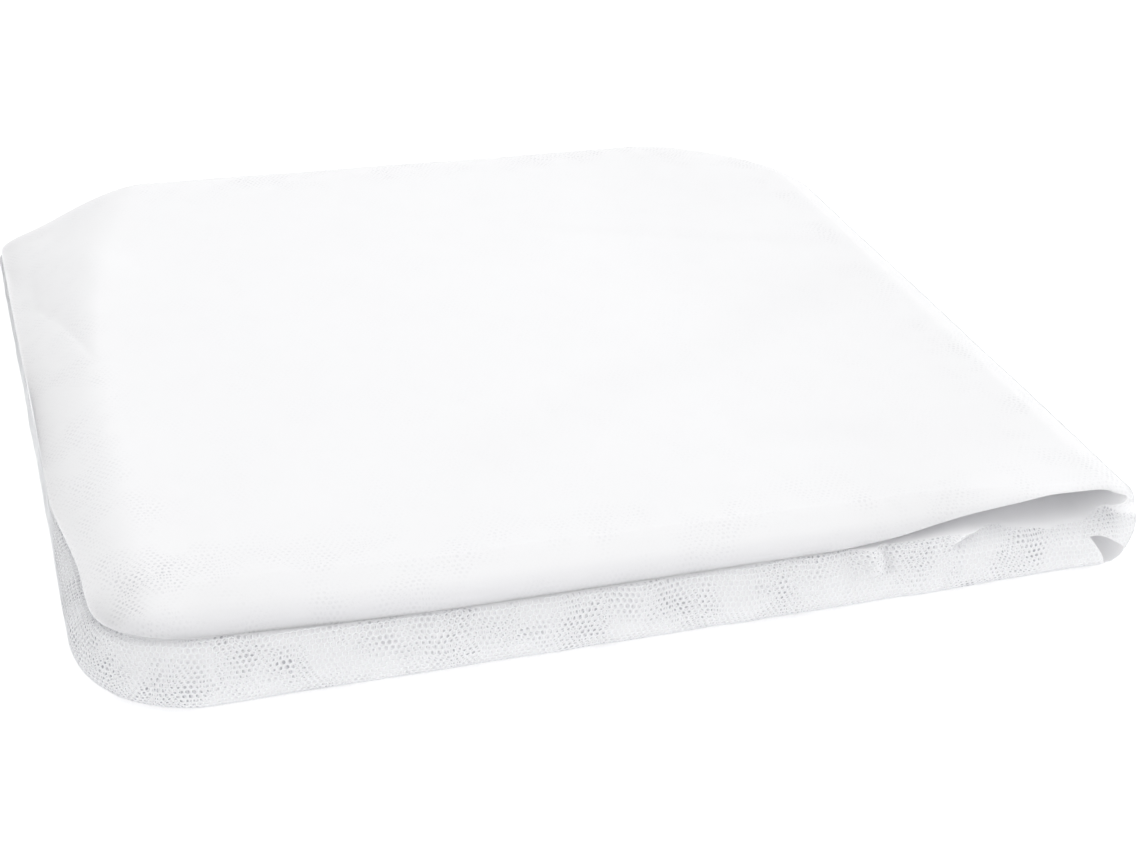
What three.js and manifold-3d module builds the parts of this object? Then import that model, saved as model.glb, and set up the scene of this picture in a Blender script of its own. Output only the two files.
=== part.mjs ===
// A white bed mosquito net, folded flat into a nearly square pack that rests on a table.
// The net is one cloth. Its section goes back and forth: the top fold runs right, rolls over
// the right end, comes back along the floor, turns up at the left, runs right again, turns
// inside the roll and ends at the left. A band of folded edges closes the front of the lower folds.
// Millimetres, +X to the right along the front edge, +Y to the back, +Z up, origin at the
// middle of the pack on the table.
import * as THREE from "three";
import { mergeVertices } from "three/addons/utils/BufferGeometryUtils.js";
import Module from "manifold-3d";

// Driving sizes of the pack
const WIDTH = 326;
const DEPTH = 324;
const HALF_WIDTH = WIDTH / 2;
const HALF_DEPTH = DEPTH / 2;
const PACK_HEIGHT = 28.3;
const DOME_RISE = 2.2;
const TILT_TO_RIGHT = 0.013;
const CORNER_RADIUS = { frontLeft: 36, frontRight: 12, backRight: 56, backLeft: 12 };
const FAR_CORNER = { x: 100, y: 100, spread: 2600, drop: 3 };
const FRONT_LIFT = { x: 122, y: -155, spreadX: 28, spreadY: 35, rise: 0.9 };

// The top's slope down to the left edge: it starts at a depth, and from there to the back its
// head moves in, its foot moves in and its foot sinks
const SLOPE = { fromY: -80, overY: 236, head: -139, headIn: 37, foot: -166, footIn: 2, low: 22, sink: 13.5 };

// Folds inside the pack
const STACK_HEIGHT = 19.6;
const STACK_DOME = 1.2;
const CORNER_LIFT = { rise: 3.6, fromX: -55, toX: -150, fromY: -118, toY: -150, leastOver: 2.2 };
const FOLD_GAP = 0.9;
const FLAP_GAP = 1.0;
const BAND_BACK = -140;
const OPEN_SIDE_START = -118;
const EAR_STACK = { height: 6.2, fromY: -45, toY: 125, inFromHead: 14, edge: -150 };
const OPENING = { rise: 4.6, fromX: 50, toX: 120, fromY: -150, toY: -108, backShare: 0.15 };
const STACK_SINK = { sink: 4.7, fromX: 95, toX: 138, backShare: 0.2 };
const SLOT_MIDDLE = { x: 149, z: 8 };
const FLOOR_FOLD = { fromX: -148, toX: 149.5, leftShare: 0.27, rightShare: 0.19, bendFrom: 60, bendTo: 145 };
const MIDDLE_FOLD = { toX: 131, share: 0.62 };

// Fineness of the surface
const SIDE_STEPS = 20;
const CORNER_STEPS = 7;
const TOP_RINGS = [0.07, 0.12, 0.17, 0.23, 0.3, 0.4, 0.55, 0.78];
const FLAP_DEPTHS = [
  -162, -152, -144, -136, -128, -120, -108, -85, -45, -15, 10, 35, 60, 80, 98, 112, 125, 150,
];
const SLOT_DEPTHS = [
  { y: -162, size: 1 },
  { y: -154, size: 1 },
  { y: -149, size: 0.6 },
  { y: -146, size: 0.15 },
];
const FOLD_DEPTHS = [-95, -55, -10, 40, 80, 110, 140];
const FOLD_STEPS = 11;
const FLAP_PLACES = [-138, -120, -80, -30, 20];

// A coordinate that lies outside the pack on every side
const REACH = 178;

// Rows of the side profile, from the table up. In says how far the row stands in from the
// outline, and up its height, over the table or from the top surface down.
// The front's left end slopes gently down from the top and its middle is steep. The loop is its
// slotted right part and the ear the drawn-down far left corner. The side is the left side's
// middle, where the top fold reaches the outline, left its near end, where it stands in, and
// corner the near left corner, where it reaches out over the rounder lower folds.
const PROFILE = [
  { row: "foot", from: "table", frontIn: 7, frontUp: 0, middleIn: 7, middleUp: 0,
    loopIn: 8, loopUp: 0, rightIn: 11.4, rightUp: 0, backIn: 7, backUp: 0,
    earIn: 6, earUp: 0, sideIn: 6, sideUp: 0, leftIn: 6, leftUp: 0,
    cornerIn: 7, cornerUp: 0 },
  { row: "low", from: "table", frontIn: 2.4, frontUp: 1.8, middleIn: 2.4, middleUp: 1.8,
    loopIn: 3.6, loopUp: 1.5, rightIn: 9, rightUp: 1.6, backIn: 2.4, backUp: 2.2,
    earIn: 1.8, earUp: 1, sideIn: 2, sideUp: 2, leftIn: 2, leftUp: 2,
    cornerIn: 2.2, cornerUp: 1.9 },
  { row: "belly", from: "table", frontIn: 0, frontUp: 7, middleIn: 0, middleUp: 7,
    loopIn: 1.4, loopUp: 5, rightIn: 4, rightUp: 5.4, backIn: 0, backUp: 7,
    earIn: 0.4, earUp: 2.4, sideIn: 0.2, sideUp: 7, leftIn: 0, leftUp: 7,
    cornerIn: 0, cornerUp: 7 },
  { row: "chest", from: "table", frontIn: 0.8, frontUp: 12.6, middleIn: 0.8, middleUp: 12.4,
    loopIn: 1.8, loopUp: 9.2, rightIn: 1.2, rightUp: 9.4, backIn: 0, backUp: 12,
    earIn: 0, earUp: 3.6, sideIn: 0.2, sideUp: 12, leftIn: 0.4, leftUp: 12,
    cornerIn: 0.6, cornerUp: 12.6 },
  { row: "shoulder", from: "table", frontIn: 1.8, frontUp: 17.6, middleIn: 2.2, middleUp: 16.4,
    loopIn: 3.2, loopUp: 12.8, rightIn: 0.2, rightUp: 12, backIn: 0.5, backUp: 16,
    earIn: 0.4, earUp: 4.7, sideIn: 0.6, sideUp: 15.8, leftIn: 2.2, leftUp: 16,
    cornerIn: 1.4, cornerUp: 17.4 },
  { row: "lip", from: "table", frontIn: 2.8, frontUp: 20.9, middleIn: 3.6, middleUp: 18.6,
    loopIn: 6.4, loopUp: 14.9, rightIn: 0, rightUp: 14, backIn: 1.2, backUp: 18.4,
    earIn: 1.4, earUp: 5.3, sideIn: 1.3, sideUp: 18.2, leftIn: 4.6, leftUp: 18.6,
    cornerIn: 2.2, cornerUp: 20.8 },
  { row: "crease", from: "table", frontIn: 4.8, frontUp: 22.5, middleIn: 5.6, middleUp: 19.7,
    loopIn: 11.2, loopUp: 18, rightIn: 0.1, rightUp: 15.6, backIn: 2.6, backUp: 20,
    earIn: 3.2, earUp: 6.4, sideIn: 2.6, sideUp: 19.6, leftIn: 7.8, leftUp: 19.9,
    cornerIn: 3.6, cornerUp: 22.4 },
  { row: "under", from: "table", frontIn: 4.2, frontUp: 23.4, middleIn: 4.6, middleUp: 20.8,
    loopIn: 10.4, loopUp: 25, rightIn: 0.6, rightUp: 17, backIn: 1.4, backUp: 20.8,
    earIn: 1.5, earUp: 7.3, sideIn: 1.3, sideUp: 20.7, leftIn: 6.4, leftUp: 21,
    cornerIn: 2.6, cornerUp: 23.2 },
  { row: "nose", from: "top", frontIn: 5.6, frontUp: -3.2, middleIn: 4.6, middleUp: -4.4,
    loopIn: 9.6, loopUp: -1.7, rightIn: 2.2, rightUp: -4.6, backIn: 1.6, backUp: -4.6,
    earIn: 0.8, earUp: -1, sideIn: 0.3, sideUp: -1.2, leftIn: 5.4, leftUp: -1.6,
    cornerIn: 3.2, cornerUp: -1.7 },
  { row: "brow", from: "top", frontIn: 11, frontUp: -1.2, middleIn: 6.6, middleUp: -1.6,
    loopIn: 10.2, loopUp: -0.8, rightIn: 5.4, rightUp: -2, backIn: 4.2, backUp: -2,
    earIn: 2.6, earUp: -0.4, sideIn: 2, sideUp: -0.5, leftIn: 7.6, leftUp: -0.5,
    cornerIn: 8, cornerUp: -0.8 },
  { row: "rim", from: "top", frontIn: 21, frontUp: -0.1, middleIn: 12.5, middleUp: -0.1,
    loopIn: 11.4, loopUp: -0.1, rightIn: 11.4, rightUp: -0.1, backIn: 11, backUp: -0.1,
    earIn: 9, earUp: 0, sideIn: 12, sideUp: 0, leftIn: 16, leftUp: 0,
    cornerIn: 18, cornerUp: -0.1 },
];

// Where each kind of side starts and ends, by its coordinate on a straight side of the outline.
// The corner's run on past the left side, round the near left corner.
const STATIONS = [
  { kind: "front", side: "front", start: -127, end: -127 },
  { kind: "middle", side: "front", start: -55, end: 88 },
  { kind: "loop", side: "front", start: 134, end: 146 },
  { kind: "right", side: "right", start: -148, end: 104 },
  { kind: "back", side: "back", start: 104, end: -90 },
  { kind: "ear", side: "back", start: -140, end: -150 },
  { kind: "ear", side: "left", start: 150, end: 125 },
  { kind: "side", side: "left", start: -45, end: -66 },
  { kind: "left", side: "left", start: -121, end: -128 },
  { kind: "corner", side: "left", start: -149, end: -153 },
];

// Soft creases and troughs in the top: a line from one end to the other, its depth and half width
const CREASES = [
  { name: "ear crease", x0: -166, y0: 142, x1: -141, y1: 18, depth: 2.4, spread: 4.5 },
  { name: "ear fold over", x0: -158, y0: 154, x1: -124, y1: 60, depth: -1.1, spread: 9 },
  { name: "long trough", x0: -74, y0: -111, x1: 150, y1: 18, depth: 0.9, spread: 14 },
  { name: "right trough", x0: 40, y0: -98, x1: 98, y1: -106, depth: 0.7, spread: 10 },
  { name: "back crease", x0: 20, y0: 76, x1: 154, y1: 34, depth: 0.6, spread: 6 },
];

// The right end of the opening under the top fold: along the roll's inside, from its roof down
// to the lower folds, each height as a share of the opening's
const ROLL_WALL = [
  { x: 148, share: 0.93 },
  { x: 153.4, share: 0.86 },
  { x: 156.4, share: 0.72 },
  { x: 155.4, share: 0.56 },
  { x: 151.6, share: 0.38 },
  { x: 147.6, share: 0.2 },
  { x: 143.6, share: 0.05 },
];

// The slot between the roll and the right end of the lower folds, clockwise from its top left
const SLOT_EDGE = [
  { x: 142.6, z: 12.6 },
  { x: 146.4, z: 12.4 },
  { x: 151, z: 10.4 },
  { x: 154.6, z: 7.6 },
  { x: 154.4, z: 5 },
  { x: 151.6, z: 2.6 },
  { x: 149, z: 2.2 },
  { x: 146.4, z: 7 },
];

const clamp01 = (v) => Math.min(1, Math.max(0, v));
const mix = (a, b, share) => a + (b - a) * share;

function ease(from, to, value) {
  const s = clamp01((value - from) / (to - from));
  return s * s * (3 - 2 * s);
}

// The outline of the pack: four straight sides and four round corners, counterclockwise
function outlineStretches() {
  const { frontLeft, frontRight, backRight, backLeft } = CORNER_RADIUS;
  const w = HALF_WIDTH;
  const d = HALF_DEPTH;
  return [
    { side: "front", x: -w + frontLeft, y: -d, dx: 1, dy: 0, length: WIDTH - frontLeft - frontRight },
    { x: w - frontRight, y: -d + frontRight, radius: frontRight, turn: -90 },
    { side: "right", x: w, y: -d + frontRight, dx: 0, dy: 1, length: DEPTH - frontRight - backRight },
    { x: w - backRight, y: d - backRight, radius: backRight, turn: 0 },
    { side: "back", x: w - backRight, y: d, dx: -1, dy: 0, length: WIDTH - backRight - backLeft },
    { x: -w + backLeft, y: d - backLeft, radius: backLeft, turn: 90 },
    { side: "left", x: -w, y: d - backLeft, dx: 0, dy: -1, length: DEPTH - backLeft - frontLeft },
    { x: -w + frontLeft, y: -d + frontLeft, radius: frontLeft, turn: 180 },
  ];
}

// Points around the outline, each with its way along, its place and its outward direction
function outlinePoints() {
  const points = [];
  let start = 0;
  for (const part of outlineStretches()) {
    const length = part.side ? part.length : (Math.PI / 2) * part.radius;
    const count = part.side ? SIDE_STEPS : CORNER_STEPS;
    for (let i = 0; i < count; i++) {
      const along = (length * i) / count;
      if (part.side) {
        const x = part.x + part.dx * along;
        const y = part.y + part.dy * along;
        points.push({ along: start + along, x, y, outX: part.dy, outY: -part.dx });
      } else {
        const angle = THREE.MathUtils.degToRad(part.turn) + along / part.radius;
        const outX = Math.cos(angle);
        const outY = Math.sin(angle);
        const x = part.x + part.radius * outX;
        const y = part.y + part.radius * outY;
        points.push({ along: start + along, x, y, outX, outY });
      }
    }
    start += length;
  }
  return { points, perimeter: start };
}

// The way along the outline of a coordinate on a straight side
function alongSide(side, coordinate) {
  let start = 0;
  for (const part of outlineStretches()) {
    if (part.side === side) {
      return start + (coordinate - part.x) * part.dx + (coordinate - part.y) * part.dy;
    }
    start += part.side ? part.length : (Math.PI / 2) * part.radius;
  }
  return start;
}

// The share of each kind of side at a way along the outline
function sideShares(along, perimeter) {
  const stops = STATIONS.map(({ kind, side, start, end }) => ({
    kind,
    start: alongSide(side, start),
    end: alongSide(side, end),
  }));
  stops.push({ kind: "front", start: perimeter, end: perimeter });
  for (let i = 0; i + 1 < stops.length; i++) {
    if (along <= stops[i].end) return { [stops[i].kind]: 1 };
    if (along < stops[i + 1].start) {
      const share = ease(stops[i].end, stops[i + 1].start, along);
      const here = stops[i].kind;
      const next = stops[i + 1].kind;
      return here === next ? { [here]: 1 } : { [here]: 1 - share, [next]: share };
    }
  }
  return { front: 1 };
}

function creaseDepth(x, y) {
  let sum = 0;
  for (const { x0, y0, x1, y1, depth, spread } of CREASES) {
    const lengthSquared = (x1 - x0) ** 2 + (y1 - y0) ** 2;
    const along = ((x - x0) * (x1 - x0) + (y - y0) * (y1 - y0)) / lengthSquared;
    const across = ((x - x0) * (y1 - y0) - (y - y0) * (x1 - x0)) / Math.sqrt(lengthSquared);
    const ends = ease(0, 0.2, along) * ease(1.12, 0.75, along);
    sum += depth * Math.exp(-((across / spread) ** 2)) * ends;
  }
  return sum;
}

// Share of the way into the far right corner
function farCorner(x, y) {
  return ease(0, FAR_CORNER.spread, Math.max(0, x - FAR_CORNER.x) * Math.max(0, y - FAR_CORNER.y));
}

function domeShare(x, y) {
  return clamp01(1 - (x / HALF_WIDTH) ** 2) * clamp01(1 - (y / HALF_DEPTH) ** 2);
}

// Share of the way back along the left slope, and where the slope starts there
const slopeBack = (y) => clamp01((y - SLOPE.fromY) / SLOPE.overY);
const slopeHead = (y) => SLOPE.head + SLOPE.headIn * slopeBack(y) ** 3;

// Height of the top surface: a low dome that falls to the right, sinks at the far right
// corner, lifts over the slot and slopes down at the left, most at the ear
function topHeight(x, y) {
  const liftX = (x - FRONT_LIFT.x) / FRONT_LIFT.spreadX;
  const liftY = (y - FRONT_LIFT.y) / FRONT_LIFT.spreadY;
  const lift = FRONT_LIFT.rise * Math.exp(-(liftX ** 2) - liftY ** 2);
  const dome = DOME_RISE * domeShare(x, y);
  const flat = PACK_HEIGHT - TILT_TO_RIGHT * x + dome + lift - FAR_CORNER.drop * farCorner(x, y);
  const head = slopeHead(y);
  const foot = SLOPE.foot + SLOPE.footIn * slopeBack(y);
  const low = SLOPE.low - SLOPE.sink * ease(0, 1, slopeBack(y));
  return mix(flat, low, ease(0, 1, (head - x) / (head - foot))) - creaseDepth(x, y);
}

// Height of the lower folds' top, which the top fold lies on. It rises to the near left corner.
function stackHeight(x, y) {
  const flat = STACK_HEIGHT + STACK_DOME * domeShare(x, y) - FAR_CORNER.drop * farCorner(x, y);
  const edge = mix(STACK_HEIGHT, EAR_STACK.height, ease(EAR_STACK.fromY, EAR_STACK.toY, y));
  const head = slopeHead(y);
  const foot = Math.min(EAR_STACK.edge, head - EAR_STACK.inFromHead);
  const height = mix(flat, edge, ease(head, foot, x));
  const { rise, fromX, toX, fromY, toY, leastOver } = CORNER_LIFT;
  const lift = rise * ease(fromX, toX, x) * ease(fromY, toY, y);
  const room = Math.max(0, topHeight(x, y) - FLAP_GAP - leastOver - height);
  return height + Math.min(lift, room) - stackSink(x, y);
}

// Share of the way back through the opening, from its wide front to its low back
const openingBack = (y) => ease(OPENING.fromY, OPENING.toY, y);

// How far the lower folds sink at the opening's right end
function stackSink(x, y) {
  const sunk = STACK_SINK.sink * ease(STACK_SINK.fromX, STACK_SINK.toX, x);
  return sunk * mix(1, STACK_SINK.backShare, openingBack(y));
}

// Height of the top fold's underside, which the opening lifts at the front
function flapUnderside(x, y) {
  const rise = OPENING.rise * mix(1, OPENING.backShare, openingBack(y));
  const held = stackHeight(x, y) + stackSink(x, y);
  return held + FLAP_GAP + rise * ease(OPENING.fromX, OPENING.toX, x);
}

// A closed surface from rings of points, closed by a middle point below and above
function closedRings(rings, bottom, top) {
  const count = rings[0].length;
  const positions = [];
  rings.forEach((ring) => ring.forEach((p) => positions.push(...p)));
  const bottomIndex = rings.length * count;
  positions.push(...bottom, ...top);
  const index = [];
  for (let i = 0; i < count; i++) {
    const j = (i + 1) % count;
    index.push(bottomIndex, j, i);
    for (let r = 0; r + 1 < rings.length; r++) {
      const a = r * count;
      const b = (r + 1) * count;
      index.push(a + i, a + j, b + i);
      index.push(a + j, b + j, b + i);
    }
    const last = (rings.length - 1) * count;
    index.push(last + i, last + j, bottomIndex + 1);
  }
  return indexedGeometry(positions, index);
}

function indexedGeometry(positions, index) {
  const geometry = new THREE.BufferGeometry();
  geometry.setAttribute("position", new THREE.Float32BufferAttribute(positions, 3));
  geometry.setIndex(index);
  return geometry;
}

// A closed solid through sections that all have the same points, from the front to the back
function sweptAlongDepth(sectionAt, depths) {
  const sections = depths.map((y) => sectionAt(y));
  const count = sections[0].length;
  const positions = [];
  sections.forEach((section, s) => section.forEach(({ x, z }) => positions.push(x, depths[s], z)));
  const index = [];
  for (let s = 0; s + 1 < sections.length; s++) {
    for (let i = 0; i < count; i++) {
      const a = s * count + i;
      const b = s * count + ((i + 1) % count);
      index.push(a, b, a + count);
      index.push(b, b + count, a + count);
    }
  }
  const caps = THREE.ShapeUtils.triangulateShape(
    sections[0].map(({ x, z }) => new THREE.Vector2(x, z)),
    [],
  );
  const last = (sections.length - 1) * count;
  for (const [a, b, c] of caps) {
    index.push(a, b, c);
    index.push(last + a, last + c, last + b);
  }
  return indexedGeometry(positions, index);
}

function steps(from, to, count) {
  return Array.from({ length: count + 1 }, (_, i) => mix(from, to, i / count));
}

// The pack's outside as one closed surface
function outerSurface() {
  const { points, perimeter } = outlinePoints();
  const rings = PROFILE.map((profile) =>
    points.map((point) => {
      let inset = 0;
      let up = 0;
      for (const [kind, share] of Object.entries(sideShares(point.along, perimeter))) {
        inset += profile[kind + "In"] * share;
        up += profile[kind + "Up"] * share;
      }
      const x = point.x - point.outX * inset;
      const y = point.y - point.outY * inset;
      return [x, y, profile.from === "top" ? topHeight(x, y) + up : up];
    }),
  );
  const rim = rings[rings.length - 1];
  for (const share of TOP_RINGS) {
    rings.push(
      rim.map(([rimX, rimY]) => {
        const x = rimX * (1 - share);
        const y = rimY * (1 - share);
        return [x, y, topHeight(x, y)];
      }),
    );
  }
  return closedRings(rings, [0, 0, 0], [0, 0, topHeight(0, 0)]);
}

// Space between the top fold and the lower folds, with the opening at the right
function flapSpace() {
  const places = [...steps(-REACH, FLAP_PLACES[0], 4), ...FLAP_PLACES.slice(1), ...steps(50, 130, 8)];
  const last = places[places.length - 1];
  return sweptAlongDepth(
    (y) => {
      const upper = places.map((x) => ({ x, z: flapUnderside(x, y) }));
      const lower = places.map((x) => ({ x, z: stackHeight(x, y) })).reverse();
      const floor = stackHeight(last, y);
      const roof = flapUnderside(last, y);
      const wall = ROLL_WALL.map(({ x, share }) => ({ x, z: mix(floor, roof, share) }));
      return [...upper, ...wall, ...lower];
    },
    [-REACH, ...FLAP_DEPTHS, REACH],
  );
}

// The slot at the right end of the front. It narrows towards the back, where it closes.
function slotSpace() {
  const depths = [{ y: -REACH, size: 1 }, ...SLOT_DEPTHS];
  const sizeAt = new Map(depths.map(({ y, size }) => [y, size]));
  return sweptAlongDepth(
    (y) =>
      SLOT_EDGE.map(({ x, z }) => ({
        x: mix(SLOT_MIDDLE.x, x, sizeAt.get(y)),
        z: mix(SLOT_MIDDLE.z, z, sizeAt.get(y)),
      })),
    depths.map(({ y }) => y),
  );
}

// A thin gap between two of the lower folds, closed towards the front by the band
function foldSpace(heightAt, fromX, toX, fromY) {
  const places = steps(fromX, toX, FOLD_STEPS);
  return sweptAlongDepth(
    (y) => {
      const upper = places.map((x) => ({ x, z: heightAt(x, y) + FOLD_GAP }));
      const lower = places.map((x) => ({ x, z: heightAt(x, y) })).reverse();
      return [...upper, ...lower];
    },
    [fromY, ...FOLD_DEPTHS, REACH],
  );
}

function floorFoldTop(x, y) {
  const bend = ease(FLOOR_FOLD.bendFrom, FLOOR_FOLD.bendTo, x);
  return mix(FLOOR_FOLD.leftShare, FLOOR_FOLD.rightShare, bend) * stackHeight(x, y);
}

const middleFoldTop = (x, y) => MIDDLE_FOLD.share * stackHeight(x, y);

const wasm = await Module();
wasm.setup();

function solidOf(geometry) {
  const merged = mergeVertices(geometry);
  const vertProperties = new Float32Array(merged.attributes.position.array);
  const triVerts = new Uint32Array(merged.index.array);
  return new wasm.Manifold(new wasm.Mesh({ numProp: 3, vertProperties, triVerts }));
}

function geometryOf(solid) {
  const { vertProperties, triVerts } = solid.getMesh();
  return indexedGeometry(Array.from(vertProperties), Array.from(triVerts));
}

// The net: the outside, less the spaces between its folds
function foldedNet() {
  const net = solidOf(outerSurface())
    .subtract(solidOf(flapSpace()))
    .subtract(solidOf(slotSpace()))
    .subtract(solidOf(foldSpace(floorFoldTop, FLOOR_FOLD.fromX, FLOOR_FOLD.toX, BAND_BACK)))
    .subtract(solidOf(foldSpace(middleFoldTop, -REACH, MIDDLE_FOLD.toX, OPEN_SIDE_START)));
  const cloth = new THREE.MeshStandardMaterial({ color: 0xf5f7f8, roughness: 0.85, metalness: 0 });
  const mesh = new THREE.Mesh(geometryOf(net), cloth);
  mesh.name = "folded_net";
  return mesh;
}

const group = new THREE.Group();
group.add(foldedNet());

export default group;
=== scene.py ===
"""A white bed mosquito net, folded flat into a nearly square pack that lies on a pale table."""

import math

import bpy
import numpy as np
from mathutils import Matrix, Vector


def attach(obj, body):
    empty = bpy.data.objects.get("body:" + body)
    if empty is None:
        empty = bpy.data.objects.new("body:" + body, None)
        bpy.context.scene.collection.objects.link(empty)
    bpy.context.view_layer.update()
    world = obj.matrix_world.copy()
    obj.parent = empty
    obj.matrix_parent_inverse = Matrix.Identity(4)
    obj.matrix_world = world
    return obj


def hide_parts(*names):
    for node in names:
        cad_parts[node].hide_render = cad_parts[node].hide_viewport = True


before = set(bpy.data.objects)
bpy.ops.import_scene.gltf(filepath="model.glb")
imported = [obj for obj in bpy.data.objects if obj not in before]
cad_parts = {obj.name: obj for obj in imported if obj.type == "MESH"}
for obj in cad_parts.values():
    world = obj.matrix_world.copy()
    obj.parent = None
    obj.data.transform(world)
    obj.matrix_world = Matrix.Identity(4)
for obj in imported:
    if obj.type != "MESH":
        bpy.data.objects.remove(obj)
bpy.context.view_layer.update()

# Camera
# A long lens over the near edge, turned to the right and a little off level, as in the photo.
YAW, PITCH, ROLL = math.radians(18.37), math.radians(28.72), math.radians(1.81)
forward = Vector(
    (math.sin(YAW) * math.cos(PITCH), math.cos(YAW) * math.cos(PITCH), -math.sin(PITCH))
)
level = Vector((math.cos(YAW), -math.sin(YAW), 0))
upright = level.cross(forward)
to_right = level * math.cos(ROLL) + upright * math.sin(ROLL)
to_top = upright * math.cos(ROLL) - level * math.sin(ROLL)
camera = bpy.data.objects.new("camera", bpy.data.cameras.new("camera"))
bpy.context.scene.collection.objects.link(camera)
turn = Matrix((to_right, to_top, -forward)).transposed().to_4x4()
camera.matrix_world = Matrix.Translation((-0.1824, -0.6263, 0.3443)) @ turn
camera.data.sensor_width = 36
camera.data.lens = 65.42
camera.data.clip_start = 0.01
bpy.context.scene.camera = camera


# Folded net
# The bed net itself: thirty to forty thin layers of white knitted polyester net in each fold,
# laid back and forth and rolled over at the right end. It is soft, with air between the layers.
# Sizes in millimetres; rows of the side profile are (inset, height) for each kind of side.
HALF_WIDTH, HALF_DEPTH = 163.0, 162.0
PACK_HEIGHT, DOME_RISE, TILT_TO_RIGHT = 28.3, 2.2, 0.013
STACK_HEIGHT, STACK_DOME, FLAP_GAP, FOLD_GAP = 19.6, 1.2, 1.0, 0.9
CORNERS = {"front_left": 36.0, "front_right": 12.0, "back_right": 56.0, "back_left": 12.0}
KINDS = ["front", "middle", "loop", "right", "back", "ear", "side", "left", "corner"]
PROFILE = [
    ("foot", "table", (7, 0), (7, 0), (8, 0), (11.4, 0), (7, 0),
     (6, 0), (6, 0), (6, 0), (7, 0)),
    ("low", "table", (2.4, 1.8), (2.4, 1.8), (3.6, 1.5), (9, 1.6), (2.4, 2.2),
     (1.8, 1), (2, 2), (2, 2), (2.2, 1.9)),
    ("belly", "table", (0, 7), (0, 7), (1.4, 5), (4, 5.4), (0, 7),
     (0.4, 2.4), (0.2, 7), (0, 7), (0, 7)),
    ("chest", "table", (0.8, 12.6), (0.8, 12.4), (1.8, 9.2), (1.2, 9.4), (0, 12),
     (0, 3.6), (0.2, 12), (0.4, 12), (0.6, 12.6)),
    ("shoulder", "table", (1.8, 17.6), (2.2, 16.4), (3.2, 12.8), (0.2, 12), (0.5, 16),
     (0.4, 4.7), (0.6, 15.8), (2.2, 16), (1.4, 17.4)),
    ("lip", "table", (2.8, 20.9), (3.6, 18.6), (6.4, 14.9), (0, 14), (1.2, 18.4),
     (1.0, 5.3), (0.8, 18.2), (4.6, 18.6), (2.2, 20.8)),
    ("crease", "table", (4.7, 22.5), (5.0, 19.7), (11.2, 18), (0.1, 15.6), (2.6, 20),
     (1.7, 6.4), (1.0, 19.6), (7.8, 19.9), (4.2, 22.4)),
    ("under", "table", (4.5, 23.4), (4.7, 20.8), (10.4, 25), (0.6, 17), (1.4, 20.8),
     (1.2, 7.3), (0.8, 20.7), (6.4, 21), (3.0, 23.2)),
    ("nose", "top", (5.4, -3.8), (4.8, -5.2), (9.6, -1.7), (2.2, -4.6), (1.6, -4.6),
     (0.8, -1), (0.7, -1.3), (5.4, -1.6), (3.2, -1.7)),
    ("brow", "top", (12.5, -1.8), (9.6, -2.4), (10.2, -0.8), (5.4, -2), (4.2, -2),
     (2.6, -0.4), (2, -0.5), (7.6, -0.5), (8, -0.8)),
    ("rim", "top", (22, -0.2), (17.5, -0.4), (11.4, -0.1), (11.4, -0.1), (11, -0.1),
     (9, 0), (12, 0), (16, 0), (18, -0.1)),
]
CREASE_ROW = 6
STATIONS = [
    ("front", "front", -127, -127),
    ("middle", "front", -55, 88),
    ("loop", "front", 134, 146),
    ("right", "right", -148, 104),
    ("back", "back", 104, -90),
    ("ear", "back", -140, -150),
    ("ear", "left", 150, 125),
    ("side", "left", -45, -66),
    ("left", "left", -121, -128),
    ("corner", "left", -149, -153),
]
# Creases of the top: from x, y to x, y, depth and half width; a negative depth is a ridge
TOP_CREASES = [
    (-157, 122, -141, 18, 1.1, 4.5),
    (-158, 154, -124, 60, -1.1, 9),
    (-74, -111, 150, 18, 0.9, 14),
    (40, -98, 98, -106, 0.7, 10),
    (20, 76, 154, 34, 0.6, 6),
    (-163, 140, -149.5, 52, 0.75, 1.5),
    (-152, 84, -140, 0, 0.6, 1.8),
]
# The right end of the opening under the top fold, along the roll's inside, from its roof down to
# the lower folds, as x and share of the opening's height. Then the slot between the roll and the
# lower folds' right end, as x, z.
ROLL_WALL = [
    (148, 0.93),
    (153.4, 0.86),
    (156.4, 0.72),
    (155.4, 0.56),
    (151.6, 0.38),
    (147.6, 0.2),
    (143.6, 0.05),
]
SLOT_EDGE = [
    (142.6, 12.6),
    (146.4, 12.4),
    (151, 10.4),
    (154.6, 7.6),
    (154.4, 5),
    (151.6, 2.6),
    (149, 2.2),
    (146.4, 7),
]
SLOT_MIDDLE = (149.0, 8.0)
# How far the top fold rises over the opening, how far the lower folds sink in it, and how far
# they rise at the near left corner
OPENING_RISE, STACK_SINK, CORNER_LIFT = 4.6, 4.7, 3.6
# The lower folds' height at the far left, and least room under the top fold's outside
EAR_STACK_HEIGHT, LEAST_OVER = 6.2, 2.2


def ease(start, end, value):
    """0 before the start, 1 past the end, and smooth between."""
    share = np.clip((value - start) / (end - start), 0, 1)
    return share * share * (3 - 2 * share)


def outline_stretches():
    """The outline counterclockwise from the front left: straight sides and round corners."""
    w, d = HALF_WIDTH, HALF_DEPTH
    fl, fr, br, bl = CORNERS.values()
    return [
        ("front", -w + fl, -d, (1, 0), 2 * w - fl - fr),
        ("round", w - fr, -d + fr, -90, fr),
        ("right", w, -d + fr, (0, 1), 2 * d - fr - br),
        ("round", w - br, d - br, 0, br),
        ("back", w - br, d, (-1, 0), 2 * w - br - bl),
        ("round", -w + bl, d - bl, 90, bl),
        ("left", -w, d - bl, (0, -1), 2 * d - bl - fl),
        ("round", -w + fl, -d + fl, 180, fl),
    ]


def stretch_length(stretch):
    return stretch[4] * math.pi / 2 if stretch[0] == "round" else stretch[4]


PERIMETER = sum(stretch_length(s) for s in outline_stretches())


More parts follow.
